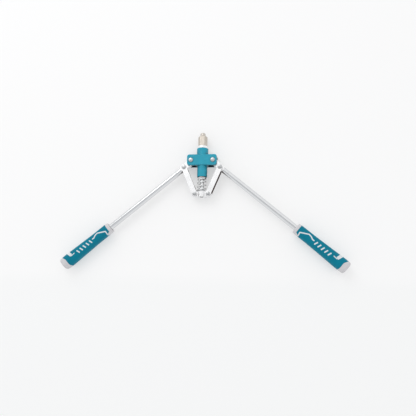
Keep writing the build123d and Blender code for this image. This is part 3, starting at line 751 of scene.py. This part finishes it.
def strokeDistance(u, v, points, halfWidth):
    # distance in mm to a line of straight runs, less its half width; negative inside
    best = np.full(u.shape, 1e3)
    for a, b in zip(points, points[1:]):
        run = np.array(b, float) - a
        t = np.clip(((u - a[0]) * run[0] + (v - a[1]) * run[1]) / (run @ run), 0, 1)
        gap = np.hypot(u - a[0] - t * run[0], v - a[1] - t * run[1]) - halfWidth
        best = np.minimum(best, gap)
    return best


def slantedBar(u, v, low, high, halfWidth):
    # distance to a bar with square ends from one point to another, less its half width
    run = np.array(high, float) - low
    length = np.hypot(*run)
    run /= length
    t = (u - low[0]) * run[0] + (v - low[1]) * run[1]
    side = np.abs((v - low[1]) * run[0] - (u - low[0]) * run[1]) - halfWidth
    return np.maximum(side, np.maximum(-t, t - length))


inlays = {                       # places along and across the grip, in mm, + across is the outer side
    "line": ((13.7, -10.6), (12.6, -3.6), (29.6, 5.2), (35.5, 4.2), (40.9, 1.2), (44.9, 1.2)),
    "lineHalf": 1.25,
    "thinTick": ((94.5, 1.8), (102.5, 1.0)),
    "thinHalf": 0.9,
    "wideTick": ((102.5, 2.2), (107, 13.6)),
    "wideHalf": 3.2,
    "bars": 5,                   # a row of plain slanted bars between the line and the tick
    "barStart": 50.0,
    "barPitch": 8.5,
    "barLean": 3.2,
    "barHalf": 1.35,
    "barReach": 4.0,             # half the width of the row, and how far it sits to the inner side
    "barShift": 0.6,
}


def inlayDepth(u, v):            # how far inside an inlay a place is, in mm, negative outside
    gap = strokeDistance(u, v, inlays["line"], inlays["lineHalf"])
    gap = np.minimum(gap, strokeDistance(u, v, inlays["thinTick"], inlays["thinHalf"]))
    gap = np.minimum(gap, slantedBar(u, v, *inlays["wideTick"], inlays["wideHalf"]))
    for i in range(inlays["bars"]):
        start = inlays["barStart"] + i * inlays["barPitch"]
        low = (start, -inlays["barReach"] - inlays["barShift"])
        high = (start + inlays["barLean"], inlays["barReach"] - inlays["barShift"])
        gap = np.minimum(gap, slantedBar(u, v, low, high, inlays["barHalf"]))
    return -gap


def mouldedShell(startEdge, endEdge, startRound, endRound, innerRadius, rows, raised):
    # point(row, turn) = a place between two edges that both change with the turn, at the grip's radius,
    # drawn in near each edge by a quarter round; the last two rows close the shell at the inner radius
    columns = gripShape["columns"]
    turn = np.linspace(0, 2 * np.pi, columns, endpoint=False)
    across = np.cos(turn) * (gripShape["coreRadius"] + 3.5)
    start, end = startEdge(across), endEdge(across)
    length = end - start
    fine = np.array([0, 0.04, 0.14, 0.3, 0.55, 0.85, 1.0])
    inner = np.linspace(0, 1, rows)[1:-1]
    u = np.concatenate([
        start + fine[:, None] * startRound,
        start + startRound + inner[:, None] * (length - startRound - endRound),
        end - fine[::-1][:, None] * endRound,
    ])
    nearStart = np.clip(1 - (u - start) / startRound, 0, 1)
    nearEnd = np.clip(1 - (end - u) / endRound, 0, 1)
    drawn = startRound * (1 - np.sqrt(1 - nearStart ** 2)) + endRound * (1 - np.sqrt(1 - nearEnd ** 2))
    radius = gripRadius(u, turn[None, :]) - drawn
    v = radius * np.cos(turn)[None, :]
    depth = inlayDepth(u, v) if raised else np.full(u.shape, -9.0)
    rise = gripShape["inlayRise"] * smoothStep(depth / 0.7 + 0.5)
    radius = radius + rise * (nearStart < 0.01) * (nearEnd < 0.01)
    closing = np.full((1, columns), innerRadius)
    radii = np.concatenate([radius, closing, closing])
    heights = np.concatenate([u, end[None, :], start[None, :]])
    points = ringSheet(radii, heights, gripOrigin, along, outward)
    marks = np.concatenate([depth, np.full((2, columns), -9.0)])
    return (points.reshape(-1, 3), sheetFaces(*radii.shape, True)), marks.ravel()


def gripFront(v):                # an edge square to the grip at its front
    return np.zeros(v.shape)


def buttEnd(v):                  # and one where the end cap seats
    return np.full(v.shape, capSeat)


seam = gripShape["seam"]
sleeveShape, marks = mouldedShell(frontEdge, buttEdge, seam, seam, gripShape["coreRadius"],
                                  gripShape["sleeveRows"], True)
for sleeve in addPair("GripSleeve", sleeveShape, rubber, "lever", ["grip_sleeve"]):
    inlayMarks = sleeve.data.attributes.new("inlay", "FLOAT", "POINT")
    inlayMarks.data.foreach_set("value", marks.astype(np.float32))
collarShape = mouldedShell(gripFront, frontEdge, gripShape["frontRounding"], seam, tubeRadius, 14, False)[0]
buttShape = mouldedShell(buttEdge, buttEnd, seam, 0.2, tubeRadius, 14, False)[0]
addPair("GripCollar", collarShape, nylon, "lever", [])
addPair("GripButt", buttShape, nylon, "lever", ["grip_core"])


def capSheet():
    # the grip's own outline carried on to its end, drawn in by a quarter round and closed by a flat face
    columns = gripShape["columns"]
    turn = np.linspace(0, 2 * np.pi, columns, endpoint=False)
    quarter = np.linspace(0, np.pi / 2, 12)
    rounding = gripShape["endRounding"]
    u = np.concatenate([[capSeat, capSeat + 0.05], gripLength - rounding * (1 - np.sin(quarter))])
    drawn = np.concatenate([[0.25, 0.1], rounding * (1 - np.cos(quarter))])
    radius = gripRadius(u[:, None], turn[None, :]) - drawn[:, None]
    inner = radius[-1:] * np.array([[0.97], [0.6], [0.3]])
    radii = np.concatenate([radius[:1] * 0.5, radius, inner])
    heights = np.concatenate([[capSeat], u, [gripLength] * 3])[:, None] * np.ones((1, columns))
    points = ringSheet(radii, heights, gripOrigin, along, outward)
    return closeEnds(points, sheetFaces(radii.shape[0], columns, False))


addPair("EndCap", capSheet(), nylon, "lever", ["end_cap"])

# floor, light and camera
print("stage")
stageLook = {
    "floorSize": 12.0,
    "floorHex": "b9b9b9",        # the sheet glows, so that only a part of its light can be shadowed
    "floorGlowHex": "b3b3b3",
    "floorGlowLowHex": "afb0b0",
    "floorGlowLow": (-0.15, -0.19),   # where it turns a little greyer, in front of the grips
    "skyTopHex": "fafafa",
    "skyDullHex": "dfe0e2",
    "skyGapHex": "a0a2a5",
    "skyEdgeHex": "eeeeee",      # near the horizon, as bright as the sheet
    # part of the view direction, where the ramp starts and where it is full
    "skyDull": ("Y", 0.04, -0.06),
    "skyGapStart": ("Y", 0.15, 0.07),
    "skyGapEnd": ("Y", -0.12, -0.04),
    "skyOverhead": ("Z", 0.45, 0.7),
    "skyLevel": ("Z", 0.25, 0.05),
    "sky": 1.1,
    "keyPower": 11.0,
    "keySize": 1.4,
    "keyPlace": (-0.8, 1.5, 1.65),
}


def floorSheet():
    # a flat square of matt paper that also glows a little, less so in front of the grips
    half = stageLook["floorSize"] / 2
    corners = [(-half, -half, 0), (half, -half, 0), (half, half, 0), (-half, half, 0)]
    mesh = bpy.data.meshes.new("floor")
    mesh.from_pydata(corners, [], [(0, 1, 2, 3)])
    material, tree, shader = newMaterial("paperSheet", Roughness=0.9, Specular_IOR_Level=0.0)
    shader.inputs["Base Color"].default_value = linear(stageLook["floorHex"])
    shader.inputs["Emission Strength"].default_value = 1.0
    place = addNode(tree, "ShaderNodeTexCoord").outputs["Object"]
    apart = addNode(tree, "ShaderNodeSeparateXYZ", {0: place}).outputs["Y"]
    start, full = stageLook["floorGlowLow"]
    lower = addNode(tree, "ShaderNodeMapRange", {"Value": apart, "From Min": start, "From Max": full},
                    interpolation_type="SMOOTHSTEP").outputs[0]
    glow = addNode(tree, "ShaderNodeMix", {0: lower, 6: linear(stageLook["floorGlowHex"]),
                                           7: linear(stageLook["floorGlowLowHex"])},
                   data_type="RGBA").outputs[2]
    tree.links.new(glow, shader.inputs["Emission Color"])
    mesh.materials.append(material)
    floor = bpy.data.objects.new("floor", mesh)
    bpy.context.scene.collection.objects.link(floor)


def studioSky():
    # a white tent, duller on the side beyond the handles, with a narrow grey gap between the two that
    # bright tubes show as their dark line; each step is a smooth ramp over one part of the view direction
    world = bpy.data.worlds.new("studio")
    world.use_nodes = True
    tree = world.node_tree
    shader = tree.nodes["Background"]
    place = addNode(tree, "ShaderNodeTexCoord").outputs["Generated"]
    apart = addNode(tree, "ShaderNodeSeparateXYZ", {0: place})
    ramps = []
    for key in ("skyDull", "skyGapStart", "skyGapEnd", "skyOverhead", "skyLevel"):
        part, start, full = stageLook[key]
        ramp = addNode(tree, "ShaderNodeMapRange", {"Value": apart.outputs[part], "From Min": start,
                                                    "From Max": full}, interpolation_type="SMOOTHSTEP")
        ramps.append(ramp.outputs[0])
    dull, gapIn, gapOut, overhead, level = ramps
    gap = addNode(tree, "ShaderNodeMath", {0: gapIn, 1: gapOut}, operation="MULTIPLY").outputs[0]
    gapPart = addNode(tree, "ShaderNodeMath", {0: gap, 1: overhead}, operation="MULTIPLY").outputs[0]
    dullPart = addNode(tree, "ShaderNodeMath", {0: dull, 1: overhead}, operation="MULTIPLY").outputs[0]
    colour = linear(stageLook["skyTopHex"])
    for share, key in ((dullPart, "skyDullHex"), (gapPart, "skyGapHex"), (level, "skyEdgeHex")):
        colour = addNode(tree, "ShaderNodeMix", {0: share, 6: colour, 7: linear(stageLook[key])},
                         data_type="RGBA").outputs[2]
    tree.links.new(colour, shader.inputs["Color"])
    shader.inputs["Strength"].default_value = stageLook["sky"]
    bpy.context.scene.world = world


def softBox():
    # a square lamp that faces the wing pins' side of the stage, its axes worked out from its own place
    light = bpy.data.lights.new("softBox", "AREA")
    light.energy = stageLook["keyPower"]
    light.size = stageLook["keySize"]
    lamp = bpy.data.objects.new("softBox", light)
    lamp.location = stageLook["keyPlace"]
    away = np.array(stageLook["keyPlace"]) / np.linalg.norm(stageLook["keyPlace"])
    right = np.cross((0, 1, 0), away)
    right /= np.linalg.norm(right)
    aim = Matrix(np.stack([right, np.cross(away, right), away], 1).tolist())
    lamp.rotation_euler = aim.to_euler()
    bpy.context.scene.collection.objects.link(lamp)


cameraPlace = {
    "lens": 38.66,
    "distance": 984.0,           # mm, along the view from the wing pins' line
    "aside": -12.25,             # how far the wing pins' line stands from the middle of the view
    "below": 102.70,
    "yaw": -7.10,
    "pitch": -9.90,
    "roll": -1.13,
}


def makeCamera(place):
    # the camera looks down on the lying tool: yaw about the pull axis, then pitch, then roll about the view
    turns = [Matrix.Rotation(math.radians(place[key]), 3, axis)
             for key, axis in (("roll", "Z"), ("pitch", "X"), ("yaw", "Y"))]
    turn = np.array(turns[0]) @ np.array(turns[1]) @ np.array(turns[2])
    spot = turn.T @ np.array([-place["aside"], -place["below"], place["distance"]]) * mm + middle
    camera = bpy.data.objects.new("camera", bpy.data.cameras.new("camera"))
    camera.data.lens = place["lens"]
    camera.data.clip_start = 0.05
    camera.data.clip_end = 50
    camera.matrix_world = Matrix.Translation(spot.tolist()) @ Matrix(turn.T.tolist()).to_4x4()
    bpy.context.scene.collection.objects.link(camera)
    bpy.context.scene.camera = camera


floorSheet()
studioSky()
softBox()
makeCamera(cameraPlace)
bpy.context.scene.view_settings.view_transform = "Standard"
bpy.context.view_layer.update()

print("done")
